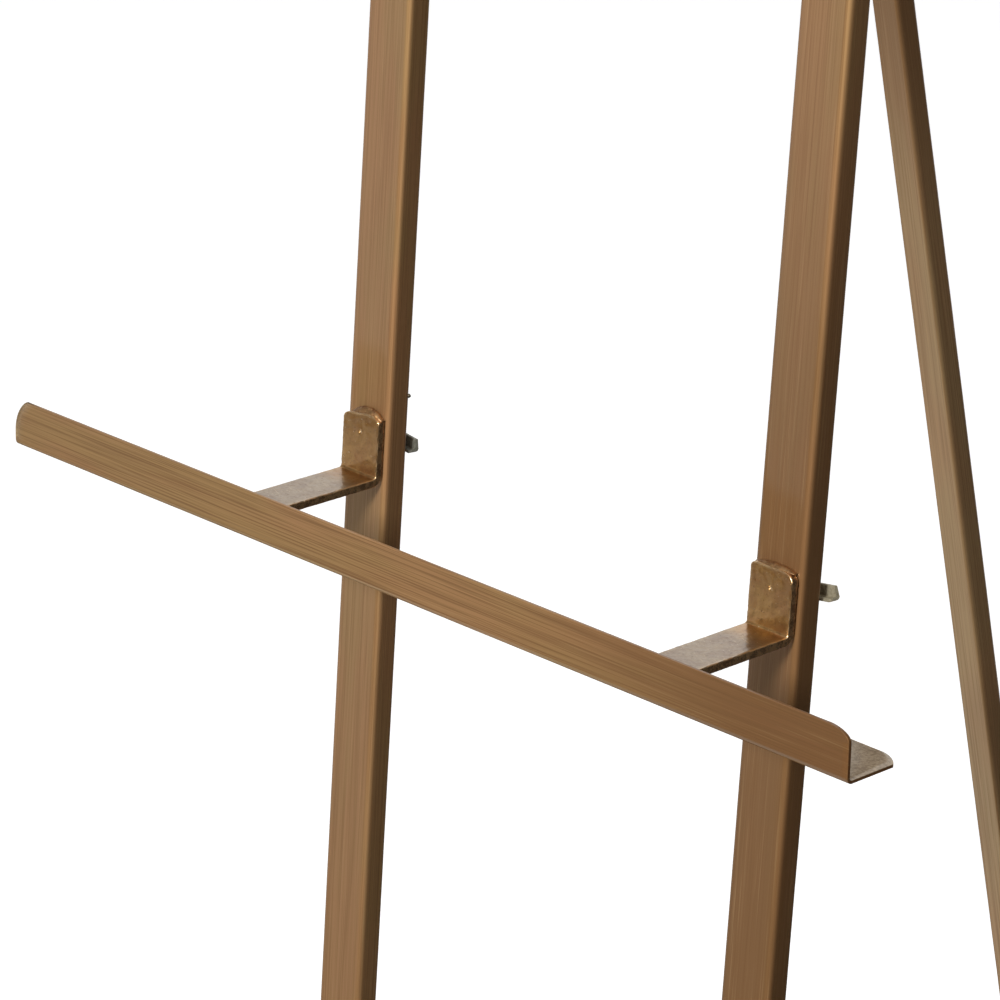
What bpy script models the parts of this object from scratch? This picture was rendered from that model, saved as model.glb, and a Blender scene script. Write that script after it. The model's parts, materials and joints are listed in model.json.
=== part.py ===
"""Floor-standing display easel in antique-brass finished steel.

Metres, +Z up, front towards -Y, +X to the viewer's right. The front frame hangs from an empty that leans back: inside
it x runs across, y back through the tubes and z up along the legs from the floor. The rear leg hangs from a second
empty on the hinge bolt, with z up along that leg.
"""

from math import asin, cos, pi, radians, sin, tan

import bmesh
import bpy
from mathutils import Vector

MM = 0.001

# Stance
LEAN = radians(3.5)             # the front frame leans back by this much
SPREAD = radians(17.1)          # between the front frame and the open rear leg
LEG_TOP = 1512 * MM             # along a front leg, from the floor to its upper end
TAB_TOP = 690 * MM              # along a front leg, from the floor to the top of a ledge bracket

# Tubes
LEG_WIDTH = 30 * MM
LEG_DEPTH = 13.6 * MM
LEG_SPACING = 271 * MM          # between the centre lines of the front legs
TUBE_WALL = 1.5 * MM
TUBE_RADIUS = 2.4 * MM
REAR_WIDTH = 17.4 * MM
REAR_DEPTH = 13.2 * MM
LOWER_CROSSBAR_HEIGHT = 300 * MM

# Clearances
GAP = 0.3 * MM                  # between pieces that touch or are welded
RUNNING = 0.06 * MM             # radial, between a shaft and its hole

# Ledge and its brackets
BAR_WIDTH = 26 * MM
BAR_THICK = 4.3 * MM
BAR_BEND = 3.6 * MM             # bend radius of the centre line
BAR_EDGE = 0.7 * MM
TAB_HEIGHT = 28.9 * MM          # from the arm's upper face to the top of the tab
TAB_CORNER = 5.5 * MM
ARM_CORNER = 3 * MM
ARM_REACH = 99.9 * MM           # from the tab's front face to the front of the ledge
ARM_SETBACK = 14 * MM           # the arm ends this far behind the ledge's front
LEDGE_LENGTH = 550 * MM
LEDGE_THICK = 2.4 * MM
LEDGE_BEND = 2.2 * MM
LEDGE_LIP = 24.4 * MM
LEDGE_DEPTH = 34.4 * MM
LEDGE_CORNER = 9 * MM
LEDGE_EDGE = 0.6 * MM
MARK_BELOW_TOP = 9.6 * MM       # centre-punch mark on the tab
MARK_RADIUS = 1.2 * MM
MARK_DEPTH = 0.6 * MM

# Studs, washers and turn levers
STUD_RADIUS = 3 * MM
STUD_BELOW_TOP = 13 * MM
STUD_SOCKET = 2.6 * MM          # depth of the stud's seat in the tab
STUD_END = 22.3 * MM            # behind the leg's front face
WASHER_RADIUS = 6.5 * MM
WASHER_THICK = 1.2 * MM
HUB_FLATS = 10 * MM
HUB_LENGTH = 5.4 * MM
LEVER_WING = 19 * MM            # from the stud's axis to the end of a lever
LEFT_LEVER_TRIM = 3.3 * MM      # the left lever's right wing is shorter by this
LEVER_THICK = 1.8 * MM
LEVER_ABOVE = 2.5 * MM
LEVER_BELOW = 4.6 * MM
LEVER_DEPTH = 4.8 * MM
LEVER_CORNER = 1.56 * MM
LEFT_LEVER_TURN = radians(7)
RIGHT_LEVER_TURN = radians(-8)
BEAD_RADIUS = 1.2 * MM          # drop of weld metal on the left leg
BEAD_ABOVE_TAB = 10.6 * MM

# Hinge at the top crossbar
HINGE_HEIGHT = 1455 * MM        # along the legs
HINGE_BACK = 29 * MM            # behind the legs' front faces
PLATE_THICK = 3 * MM
PLATE_WIDTH = 64 * MM
PLATE_HEIGHT = 28 * MM
PLATE_CORNER = 4 * MM
EAR_THICK = 3 * MM
EAR_RADIUS = 10 * MM
SPACER_THICK = 1 * MM
SPACER_RADIUS = 6 * MM
BOLT_RADIUS = 3 * MM
BOLT_FLATS = 10 * MM
BOLT_HEAD = 4 * MM
CAP_NUT_HEX = 5 * MM
CAP_NUT_DOME = 4.7 * MM
RIVET_RADIUS = 2.4 * MM
RIVET_HEAD_RADIUS = 4.6 * MM
RIVET_HEAD = 1.6 * MM
RIVET_SHANK = 7 * MM
RIVET_SPACING = 46 * MM
REAR_ABOVE_HINGE = 16.8 * MM    # rear tube above the bolt; its plug meets the plate and stops the leg

# Feet and end plugs
BOOT_WALL = 2.2 * MM
BOOT_HEIGHT = 32 * MM
BOOT_BASE = 5 * MM
BOOT_EDGE = 1 * MM
PLUG_HEAD = 1.6 * MM
PLUG_DEPTH = 14 * MM
PLUG_EDGE = 0.5 * MM

ROUND = 48
BACKWARDS = (-pi / 2, 0, 0)     # turns a piece's own +Z to point back through the frame
SIDEWAYS = (0, pi / 2, 0)       # turns a piece's own +Z to point along +X

# Finishes: base colour, roughness, metallic
BRASS = ((0.36, 0.235, 0.125, 1), 0.38, 0.9)
WORN_BRASS = ((0.42, 0.31, 0.19, 1), 0.45, 0.85)
DARK_STEEL = ((0.12, 0.1, 0.075, 1), 0.5, 0.8)
BLACK_PLASTIC = ((0.03, 0.027, 0.024, 1), 0.55, 0.0)
RUBBER = ((0.02, 0.02, 0.02, 1), 0.8, 0.0)
NYLON = ((0.7, 0.68, 0.62, 1), 0.5, 0.0)


# Scene helpers

def clear_scene():
    for obj in list(bpy.data.objects):
        bpy.data.objects.remove(obj, do_unlink=True)


def empty(name, location=(0, 0, 0), rotation=(0, 0, 0), parent=None):
    obj = bpy.data.objects.new(name, None)
    obj.empty_display_size = 0.03
    obj.location = location
    obj.rotation_euler = rotation
    obj.parent = parent
    bpy.context.scene.collection.objects.link(obj)
    return obj


def own_material(name, finish):
    colour, roughness, metallic = finish
    material = bpy.data.materials.new(name)
    material.use_nodes = True
    shader = material.node_tree.nodes["Principled BSDF"]
    shader.inputs["Base Color"].default_value = colour
    shader.inputs["Roughness"].default_value = roughness
    shader.inputs["Metallic"].default_value = metallic
    material.diffuse_color = colour
    return material


def add_object(name, bm, parent, location=(0, 0, 0), rotation=(0, 0, 0)):
    """Turns a bmesh into an object, shaded smooth except at real edges."""
    bmesh.ops.recalc_face_normals(bm, faces=bm.faces)
    mesh = bpy.data.meshes.new(name)
    bm.to_mesh(mesh)
    bm.free()
    mesh.shade_smooth()
    mesh.set_sharp_from_angle(angle=radians(30))
    obj = bpy.data.objects.new(name, mesh)
    obj.location = location
    obj.rotation_euler = rotation
    obj.parent = parent
    bpy.context.scene.collection.objects.link(obj)
    return obj


def add_piece(name, bm, finish, parent, location=(0, 0, 0), rotation=(0, 0, 0)):
    obj = add_object(name, bm, parent, location, rotation)
    obj.data.materials.append(own_material(name, finish))
    return obj


def combine(piece, word, bm, operation, location, rotation):
    """Adds a Boolean modifier whose operand is a hidden helper with the same parent as the piece."""
    helper = add_object(piece.name + "_" + word, bm, piece.parent, location, rotation)
    helper.hide_render = True
    helper.display_type = "WIRE"
    modifier = piece.modifiers.new(word, "BOOLEAN")
    modifier.operation = operation
    modifier.solver = "EXACT"
    modifier.object = helper


def cut(piece, word, bm, location=(0, 0, 0), rotation=(0, 0, 0)):
    combine(piece, word, bm, "DIFFERENCE", location, rotation)


def join(piece, word, bm, location=(0, 0, 0), rotation=(0, 0, 0)):
    combine(piece, word, bm, "UNION", location, rotation)


def ease_edges(piece, width, segments=2):
    modifier = piece.modifiers.new("eased edges", "BEVEL")
    modifier.width = width
    modifier.segments = segments
    modifier.limit_method = "ANGLE"
    modifier.angle_limit = radians(40)


# Shapes, each around its own +Z

def bevel(bm, edges, radius, segments=5):
    bmesh.ops.bevel(bm, geom=edges, offset=radius, segments=segments, profile=0.5, affect="EDGES")


def box(width, depth, height):
    """Box centred across, with its base at z = 0."""
    bm = bmesh.new()
    bmesh.ops.create_cube(bm, size=1)
    bmesh.ops.scale(bm, vec=(width, depth, height), verts=bm.verts)
    bmesh.ops.translate(bm, vec=(0, 0, height / 2), verts=bm.verts)
    return bm


def upright_edges(bm):
    return [edge for edge in bm.edges if abs((edge.verts[0].co - edge.verts[1].co).normalized().z) > 0.99]


def bar(width, depth, length, radius):
    """Straight bar with rounded long edges."""
    bm = box(width, depth, length)
    bevel(bm, upright_edges(bm), radius)
    return bm


def cylinder(radius, low, high, sides=ROUND):
    bm = bmesh.new()
    bmesh.ops.create_cone(bm, cap_ends=True, segments=sides, radius1=radius, radius2=radius, depth=high - low)
    bmesh.ops.translate(bm, vec=(0, 0, (low + high) / 2), verts=bm.verts)
    return bm


def hexagon(flats, low, high):
    return cylinder(flats / 2 / cos(pi / 6), low, high, 6)


def turned(profile, sides=32):
    """Solid of revolution from (radius, height) pairs that start and end on the axis."""
    bm = bmesh.new()
    verts = [bm.verts.new((radius, 0, height)) for radius, height in profile]
    edges = [bm.edges.new(pair) for pair in zip(verts, verts[1:])]
    bmesh.ops.spin(
        bm, geom=verts + edges, axis=(0, 0, 1), cent=(0, 0, 0), angle=2 * pi, steps=sides, use_merge=True
    )
    bmesh.ops.remove_doubles(bm, verts=bm.verts, dist=0.001 * MM)
    return bm


def extruded(outline, low, high):
    """Prism along X from (y, z) points."""
    bm = bmesh.new()
    face = bm.faces.new([bm.verts.new((low, y, z)) for y, z in outline])
    grown = bmesh.ops.extrude_face_region(bm, geom=[face])
    moved = [item for item in grown["geom"] if isinstance(item, bmesh.types.BMVert)]
    bmesh.ops.translate(bm, vec=(high - low, 0, 0), verts=moved)
    return bm


def bent_path(start, corner, end, radius, steps=8):
    """Centre line of a bent bar as (point, direction) pairs in the Y-Z plane: straight, arc, straight."""
    start = Vector(start)
    corner = Vector(corner)
    end = Vector(end)
    first = (corner - start).normalized()
    second = (end - corner).normalized()
    bend = first.angle(second)
    side = (second - first * first.dot(second)).normalized()
    arc_start = corner - first * radius * tan(bend / 2)
    centre = arc_start + side * radius
    path = [(start, first)]
    for step in range(steps + 1):
        angle = bend * step / steps
        spoke = first * sin(angle) - side * cos(angle)
        path.append((centre + spoke * radius, first * cos(angle) + side * sin(angle)))
    path.append((end, second))
    return path


def bent_bar(path, width, thickness, start_corner, end_corner):
    """Flat bar bent along a path, with rounded corners at both ends."""
    outer = []
    inner = []
    for point, direction in path:
        normal = Vector((-direction.y, direction.x)) * thickness / 2
        outer.append(point + normal)
        inner.append(point - normal)
    bm = extruded(outer + inner[::-1], -width / 2, width / 2)
    for (point, _), radius in ((path[0], start_corner), (path[-1], end_corner)):
        corners = []
        for edge in bm.edges:
            middle = (edge.verts[0].co + edge.verts[1].co) / 2
            if abs(abs(middle.x) - width / 2) < 0.01 * MM and (middle.yz - point).length < 0.01 * MM:
                corners.append(edge)
        bevel(bm, corners, radius, 8)
    return bm


# Front frame

def leg_centre(side):
    return side * LEG_SPACING / 2


def front_leg(name, side, frame):
    low = BOOT_BASE + GAP
    length = LEG_TOP - GAP - low
    place = (leg_centre(side), LEG_DEPTH / 2, low)
    leg = add_piece(name, bar(LEG_WIDTH, LEG_DEPTH, length, TUBE_RADIUS), BRASS, frame, place)
    hollow(leg, LEG_WIDTH, LEG_DEPTH, length, place)
    bore = cylinder(STUD_RADIUS + GAP, -5 * MM, LEG_DEPTH + 5 * MM)
    cut(leg, "stud_hole", bore, (leg_centre(side), 0, TAB_TOP - STUD_BELOW_TOP), BACKWARDS)
    if side < 0:
        bead = bmesh.new()
        bmesh.ops.create_icosphere(bead, subdivisions=2, radius=BEAD_RADIUS)
        spot = (leg_centre(side) + LEG_WIDTH / 2 - 0.6 * MM, LEG_DEPTH - 0.9 * MM, TAB_TOP + BEAD_ABOVE_TAB)
        join(leg, "weld_bead", bead, spot)


def hollow(piece, width, depth, length, location, rotation=(0, 0, 0)):
    """Opens a tube from end to end."""
    inside = bar(width - 2 * TUBE_WALL, depth - 2 * TUBE_WALL, length + 20 * MM, TUBE_RADIUS - TUBE_WALL)
    bmesh.ops.translate(inside, vec=(0, 0, -10 * MM), verts=inside.verts)
    cut(piece, "inside", inside, location, rotation)


def crossbar(name, height, frame):
    length = LEG_SPACING - LEG_WIDTH - 2 * GAP
    place = (-length / 2, LEG_DEPTH / 2, height)
    piece = add_piece(name, bar(LEG_WIDTH, LEG_DEPTH, length, TUBE_RADIUS), BRASS, frame, place, SIDEWAYS)
    hollow(piece, LEG_WIDTH, LEG_DEPTH, length, place, SIDEWAYS)
    return piece


def end_cap(name, width, depth, parent, location):
    """Plug over a tube's end, with a tapered stem inside the tube."""
    bm = bar(width, depth, PLUG_HEAD, TUBE_RADIUS)
    base = min(bm.faces, key=lambda face: face.calc_center_median().z)
    bmesh.ops.inset_region(bm, faces=[base], thickness=TUBE_WALL + GAP)
    grown = bmesh.ops.extrude_face_region(bm, geom=[base])
    stem = [item for item in grown["geom"] if isinstance(item, bmesh.types.BMVert)]
    bmesh.ops.delete(bm, geom=[base], context="FACES_ONLY")
    bmesh.ops.translate(bm, vec=(0, 0, -PLUG_DEPTH), verts=stem)
    bmesh.ops.scale(bm, vec=(0.96, 0.92, 1), verts=stem)
    rim = [edge for edge in bm.edges if all(abs(vert.co.z - PLUG_HEAD) < 0.01 * MM for vert in edge.verts)]
    bevel(bm, rim, PLUG_EDGE, 2)
    add_piece(name, bm, BLACK_PLASTIC, parent, location)


def boot(name, width, depth, tilt, parent, location):
    """Rubber boot round a leg's lower end, with its sole level with the floor."""
    wall = GAP + BOOT_WALL
    bm = bar(width + 2 * wall, depth + 2 * wall, BOOT_HEIGHT, TUBE_RADIUS + wall)
    top = max(bm.faces, key=lambda face: face.calc_center_median().z)
    bmesh.ops.inset_region(bm, faces=[top], thickness=BOOT_WALL)
    grown = bmesh.ops.extrude_face_region(bm, geom=[top])
    socket = [item for item in grown["geom"] if isinstance(item, bmesh.types.BMVert)]
    bmesh.ops.delete(bm, geom=[top], context="FACES_ONLY")
    bmesh.ops.translate(bm, vec=(0, 0, BOOT_BASE - BOOT_HEIGHT), verts=socket)
    sole = min(bm.faces, key=lambda face: face.calc_center_median().z)
    bevel(bm, list(sole.edges), BOOT_EDGE, 2)
    for vert in bm.verts:
        if vert.co.z < 2 * BOOT_EDGE:
            vert.co.z += (location[1] + vert.co.y) * tan(tilt)
    add_piece(name, bm, RUBBER, parent, location)


# Ledge

def bracket_corner():
    """World-aligned (y, z), from the frame's empty, of the line where a tab's front meets the arm's upper face."""
    back = -GAP - BAR_THICK
    along = TAB_TOP - TAB_HEIGHT
    return back * cos(LEAN) + along * sin(LEAN), along * cos(LEAN) - back * sin(LEAN)


def ledge_bracket(name, side, level):
    """Flat bar bent into a tab that lies against the leg and a level arm that carries the ledge."""
    corner_y, corner_z = bracket_corner()
    centre_back = -GAP - BAR_THICK / 2
    top = (centre_back * cos(LEAN) + TAB_TOP * sin(LEAN), TAB_TOP * cos(LEAN) - centre_back * sin(LEAN))
    arm_z = corner_z - BAR_THICK / 2
    bend = (top[0] - (top[1] - arm_z) * tan(LEAN), arm_z)
    arm_end = (corner_y - ARM_REACH + ARM_SETBACK, arm_z)
    bm = bent_bar(bent_path(top, bend, arm_end, BAR_BEND), BAR_WIDTH, BAR_THICK, TAB_CORNER, ARM_CORNER)
    piece = add_piece(name, bm, WORN_BRASS, level, (leg_centre(side), 0, 0))
    ease_edges(piece, BAR_EDGE)
    return piece


def ledge(level):
    corner_y, corner_z = bracket_corner()
    front = corner_y - ARM_REACH + LEDGE_THICK / 2
    floor = corner_z + GAP + LEDGE_THICK / 2
    rear = corner_y - ARM_REACH + LEDGE_DEPTH
    path = bent_path((front, corner_z + LEDGE_LIP), (front, floor), (rear, floor), LEDGE_BEND, 6)
    sheet = bent_bar(path, LEDGE_LENGTH, LEDGE_THICK, LEDGE_CORNER, LEDGE_CORNER)
    piece = add_piece("ledge", sheet, WORN_BRASS, level)
    ease_edges(piece, LEDGE_EDGE)


def tab_point(side, below_top, back=0.0):
    """Point on the frame at a distance below a tab's top, turned from frame to level coordinates."""
    along = TAB_TOP - below_top
    return (leg_centre(side), back * cos(LEAN) + along * sin(LEAN), along * cos(LEAN) - back * sin(LEAN))


def seat_stud(piece, side):
    """Blind seat for the stud in the tab's rear face, and the punch mark on its front face."""
    backwards = (-pi / 2 - LEAN, 0, 0)
    seat = cylinder(STUD_RADIUS + GAP, -GAP - STUD_SOCKET, 5 * MM)
    cut(piece, "stud_seat", seat, tab_point(side, STUD_BELOW_TOP), backwards)
    front = -GAP - BAR_THICK
    outside = front - 1 * MM
    point = turned([(0, front + MARK_DEPTH), (MARK_RADIUS, front), (MARK_RADIUS, outside), (0, outside)], 16)
    cut(piece, "punch_mark", point, tab_point(side, MARK_BELOW_TOP), backwards)


def stud_centre(side):
    return (leg_centre(side), 0, TAB_TOP - STUD_BELOW_TOP)


def stud(name, side, frame):
    bm = cylinder(STUD_RADIUS, -STUD_SOCKET, STUD_END)
    rim = [edge for edge in bm.edges if all(vert.co.z > STUD_END - 0.01 * MM for vert in edge.verts)]
    bevel(bm, rim, 0.8 * MM, 1)
    add_piece(name, bm, DARK_STEEL, frame, stud_centre(side), BACKWARDS)


def washer(name, radius, hole, low, high, finish, parent, location, rotation):
    piece = add_piece(name, cylinder(radius, low, high), finish, parent, location, rotation)
    cut(piece, "hole", cylinder(hole, low - 1 * MM, high + 1 * MM), location, rotation)


def turn_lever(name, side, turn, right_wing, frame):
    """Hub nut on the stud with a short handle of angle section across it, turned about the stud."""
    axis = empty(name + "_axis", stud_centre(side), (0, turn, 0), frame)
    low = LEG_DEPTH + GAP + WASHER_THICK + GAP
    rear = low + LEVER_DEPTH
    section = [
        (low, -LEVER_BELOW),
        (rear, -LEVER_BELOW),
        (rear, LEVER_ABOVE),
        (rear - LEVER_THICK, LEVER_ABOVE),
        (rear - LEVER_THICK, LEVER_THICK - LEVER_BELOW),
        (low, LEVER_THICK - LEVER_BELOW),
    ]
    bm = extruded(section, -LEVER_WING, right_wing)
    corners = []
    for edge in bm.edges:
        middle = (edge.verts[0].co + edge.verts[1].co) / 2
        lowest = max(vert.co.z for vert in edge.verts) < 0.01 * MM - LEVER_BELOW
        if lowest and (middle.x < 0.01 * MM - LEVER_WING or middle.x > right_wing - 0.01 * MM):
            corners.append(edge)
    bevel(bm, corners, LEVER_CORNER, 4)
    lever = add_piece(name, bm, DARK_STEEL, axis)
    join(lever, "hub", hexagon(HUB_FLATS, low, low + HUB_LENGTH), (0, 0, 0), BACKWARDS)
    bore = cylinder(STUD_RADIUS + RUNNING, low - 2 * MM, low + HUB_LENGTH + 2 * MM)
    cut(lever, "bore", bore, (0, 0, 0), BACKWARDS)


# Hinge

def ear_gap():
    return REAR_WIDTH + 2 * SPACER_THICK + 4 * GAP


def hinge_bracket(frame):
    low = LEG_DEPTH + GAP
    high = low + PLATE_THICK
    plate = bar(PLATE_WIDTH, PLATE_HEIGHT, PLATE_THICK, PLATE_CORNER)
    piece = add_piece("hinge_bracket", plate, WORN_BRASS, frame, (0, low, HINGE_HEIGHT), BACKWARDS)
    for word, side in (("left", -1), ("right", 1)):
        ear = box(EAR_THICK, HINGE_BACK + EAR_RADIUS - low - 1 * MM, 2 * EAR_RADIUS)
        rear = [edge for edge in ear.edges if all(vert.co.y > 0 for vert in edge.verts)]
        across = [edge for edge in rear if abs(edge.verts[0].co.x - edge.verts[1].co.x) > 1 * MM]
        bevel(ear, across, EAR_RADIUS * 0.98, 6)
        middle = (HINGE_BACK + EAR_RADIUS + low + 1 * MM) / 2
        place = (side * (ear_gap() + EAR_THICK) / 2, middle, HINGE_HEIGHT - EAR_RADIUS)
        join(piece, word + "_ear", ear, place)
        hole = cylinder(RIVET_RADIUS + GAP, low - 2 * MM, high + 2 * MM, 32)
        cut(piece, word + "_rivet_hole", hole, (side * RIVET_SPACING / 2, 0, HINGE_HEIGHT), BACKWARDS)
    reach = ear_gap() / 2 + EAR_THICK + 5 * MM
    hole = cylinder(BOLT_RADIUS + RUNNING, -reach, reach)
    cut(piece, "bolt_hole", hole, (0, HINGE_BACK, HINGE_HEIGHT), SIDEWAYS)


def rivet(name, side, frame):
    """Domed rivet through the hinge bracket's plate and the crossbar's rear wall."""
    seat = LEG_DEPTH + PLATE_THICK + 2 * GAP
    sphere = (RIVET_HEAD_RADIUS ** 2 + RIVET_HEAD ** 2) / (2 * RIVET_HEAD)
    span = asin(RIVET_HEAD_RADIUS / sphere)
    profile = [(0, seat - RIVET_SHANK), (RIVET_RADIUS, seat - RIVET_SHANK), (RIVET_RADIUS, seat)]
    for step in range(7):
        angle = span * (1 - step / 6)
        profile.append((sphere * sin(angle), seat + RIVET_HEAD - sphere * (1 - cos(angle))))
    place = (side * RIVET_SPACING / 2, 0, HINGE_HEIGHT)
    add_piece(name, turned(profile), WORN_BRASS, frame, place, BACKWARDS)


def hinge_hardware(frame):
    """Hexagon bolt from the left, washer and cap nut on the right, and a nylon spacer on each side of the leg."""
    place = (0, HINGE_BACK, HINGE_HEIGHT)
    outer = ear_gap() / 2 + EAR_THICK + GAP
    nut = outer + WASHER_THICK + GAP
    shank = cylinder(BOLT_RADIUS, -outer - BOLT_HEAD / 2, nut + 4 * MM)
    bolt = add_piece("hinge_bolt", shank, DARK_STEEL, frame, place, SIDEWAYS)
    join(bolt, "head", hexagon(BOLT_FLATS, -outer - BOLT_HEAD, -outer), place, SIDEWAYS)
    seat = (outer, outer + WASHER_THICK)
    washer("hinge_washer", WASHER_RADIUS, BOLT_RADIUS + RUNNING, *seat, DARK_STEEL, frame, place, SIDEWAYS)
    hexagon_nut = hexagon(BOLT_FLATS, nut, nut + CAP_NUT_HEX)
    cap = add_piece("hinge_cap_nut", hexagon_nut, DARK_STEEL, frame, place, SIDEWAYS)
    dome = [(0, nut + 3 * MM), (CAP_NUT_DOME, nut + 3 * MM)]
    dome_foot = nut + CAP_NUT_HEX + 0.3 * MM
    for step in range(7):
        angle = pi / 2 * step / 6
        dome.append((CAP_NUT_DOME * cos(angle), dome_foot + CAP_NUT_DOME * 0.85 * sin(angle)))
    join(cap, "dome", turned(dome), place, SIDEWAYS)
    cut(cap, "bore", cylinder(BOLT_RADIUS + RUNNING, nut - 2 * MM, nut + 5.2 * MM), place, SIDEWAYS)
    for word, side in (("left", -1), ("right", 1)):
        name = "hinge_spacer_" + word
        faces = sorted((side * (REAR_WIDTH / 2 + GAP), side * (REAR_WIDTH / 2 + GAP + SPACER_THICK)))
        washer(name, SPACER_RADIUS, BOLT_RADIUS + RUNNING, *faces, NYLON, frame, place, SIDEWAYS)


# Rear leg

def rear_leg(hinge):
    """Tube, boot and plug, all hung from the empty on the hinge bolt."""
    height = HINGE_HEIGHT * cos(LEAN) - HINGE_BACK * sin(LEAN)
    angle = SPREAD - LEAN
    floor = -height / cos(angle)
    low = floor + BOOT_BASE + GAP
    length = REAR_ABOVE_HINGE - low
    leg = add_piece("rear_leg", bar(REAR_WIDTH, REAR_DEPTH, length, TUBE_RADIUS), BRASS, hinge, (0, 0, low))
    hollow(leg, REAR_WIDTH, REAR_DEPTH, length, (0, 0, low))
    cut(leg, "bolt_hole", cylinder(BOLT_RADIUS + RUNNING, -20 * MM, 20 * MM), (0, 0, 0), SIDEWAYS)
    end_cap("rear_leg_cap", REAR_WIDTH, REAR_DEPTH, hinge, (0, 0, REAR_ABOVE_HINGE + GAP))
    boot("rear_foot", REAR_WIDTH, REAR_DEPTH, -angle, hinge, (0, 0, floor))


def centre_front_to_back(root):
    """Moves the whole object along Y, so that the world origin is under its middle."""
    bpy.context.view_layer.update()
    depths = []
    for obj in bpy.data.objects:
        if obj.type == "MESH" and not obj.hide_render:
            depths.extend((obj.matrix_world @ vert.co).y for vert in obj.data.vertices)
    root.location.y = -(min(depths) + max(depths)) / 2


def build():
    clear_scene()
    root = empty("easel")
    frame = empty("front_frame", rotation=(-LEAN, 0, 0), parent=root)
    hinge = empty("rear_leg_hinge", (0, HINGE_BACK, HINGE_HEIGHT), (SPREAD, 0, 0), frame)
    level = empty("ledge_level", parent=root)
    levers = (LEFT_LEVER_TURN, LEVER_WING - LEFT_LEVER_TRIM), (RIGHT_LEVER_TURN, LEVER_WING)
    for word, side, (turn, right_wing) in zip(("left", "right"), (-1, 1), levers):
        foot = (leg_centre(side), LEG_DEPTH / 2, 0)
        front_leg(word + "_front_leg", side, frame)
        end_cap(word + "_leg_cap", LEG_WIDTH, LEG_DEPTH, frame, (foot[0], foot[1], LEG_TOP))
        boot(word + "_foot", LEG_WIDTH, LEG_DEPTH, LEAN, frame, foot)
        seat_stud(ledge_bracket(word + "_ledge_bracket", side, level), side)
        stud(word + "_stud", side, frame)
        faces = (LEG_DEPTH + GAP, LEG_DEPTH + GAP + WASHER_THICK)
        hole = STUD_RADIUS + RUNNING
        washer(word + "_washer", WASHER_RADIUS, hole, *faces, DARK_STEEL, frame, stud_centre(side), BACKWARDS)
        turn_lever(word + "_turn_lever", side, turn, right_wing, frame)
        rivet("hinge_rivet_" + word, side, frame)
    ledge(level)
    top = crossbar("top_crossbar", HINGE_HEIGHT, frame)
    for word, side in (("left", -1), ("right", 1)):
        hole = cylinder(RIVET_RADIUS + GAP, LEG_DEPTH / 2, LEG_DEPTH + 3 * MM, 32)
        cut(top, word + "_rivet_hole", hole, (side * RIVET_SPACING / 2, 0, HINGE_HEIGHT), BACKWARDS)
    crossbar("lower_crossbar", LOWER_CROSSBAR_HEIGHT, frame)
    hinge_bracket(frame)
    hinge_hardware(frame)
    rear_leg(hinge)
    centre_front_to_back(root)


build()
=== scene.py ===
"""Display easel in antique-brass finished steel: fine surfaces, finishes, studio light and camera.

Lengths are in metres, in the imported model's own frame: +Z up, front towards -Y, +X to the viewer's right.
"""

import json
from math import atan2, cos, exp, pi, radians, sin, sqrt, tan

import bmesh
import bpy
from mathutils import Matrix, Vector, noise


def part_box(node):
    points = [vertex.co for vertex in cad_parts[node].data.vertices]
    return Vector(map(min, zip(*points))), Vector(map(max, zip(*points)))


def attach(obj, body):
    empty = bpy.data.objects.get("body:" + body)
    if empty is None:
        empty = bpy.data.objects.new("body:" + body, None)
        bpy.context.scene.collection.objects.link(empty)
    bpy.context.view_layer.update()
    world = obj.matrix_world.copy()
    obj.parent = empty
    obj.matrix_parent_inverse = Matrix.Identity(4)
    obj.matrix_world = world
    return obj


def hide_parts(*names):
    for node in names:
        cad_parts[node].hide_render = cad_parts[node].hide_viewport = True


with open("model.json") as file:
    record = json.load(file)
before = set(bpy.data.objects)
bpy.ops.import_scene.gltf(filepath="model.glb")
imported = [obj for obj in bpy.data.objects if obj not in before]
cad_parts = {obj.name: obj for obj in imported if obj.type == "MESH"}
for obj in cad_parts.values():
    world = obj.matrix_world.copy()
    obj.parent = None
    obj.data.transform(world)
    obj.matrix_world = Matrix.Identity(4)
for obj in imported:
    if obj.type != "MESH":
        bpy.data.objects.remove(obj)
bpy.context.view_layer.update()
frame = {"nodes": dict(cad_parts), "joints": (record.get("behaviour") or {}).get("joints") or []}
nodes = frame["nodes"]

MM = 0.001

# Sizes of the design, but with a thinner ledge, more eased tubes and a crowned tab
TAB_TOP = 690 * MM              # along a front leg, from the floor to the top of a ledge bracket
STUD_BELOW_TOP = 13 * MM
LEG_TOP = 1512 * MM
LEG_WIDTH = 30 * MM
LEG_DEPTH = 13.6 * MM
LEG_SPACING = 271 * MM
REAR_WIDTH = 17.4 * MM
REAR_DEPTH = 13.2 * MM
REAR_ABOVE_HINGE = 16.8 * MM
TUBE_WALL = 1.5 * MM
TUBE_RADIUS = 2.4 * MM
TUBE_EASE = 0.12                # reach of the drawn corner along the wide face, as a share of its width
TUBE_EASE_DOWN = 2.8 * MM
TUBE_SPACING = 9 * MM
CROSSBAR_HEIGHTS = {"lower_crossbar": 300 * MM, "top_crossbar": 1455 * MM}
GAP = 0.3 * MM                  # between pieces that touch or are welded
BAR_WIDTH = 26 * MM
BAR_THICK = 4.3 * MM
BAR_BEND = 3.6 * MM
TAB_HEIGHT = 28.9 * MM
LEDGE_THICK = 1.8 * MM
LEDGE_BEND = 2.2 * MM
CROWN_X = 5 * MM                # where along a tab's top edge its bulge is highest
CROWN_WIDTH = 7 * MM
CROWN_DEPTH = 8 * MM
BOOT_BASE = 5 * MM
BOOT_WALL = 2.2 * MM
BOOT_HEIGHT = 32 * MM
PLUG_HEAD = 1.6 * MM

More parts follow.
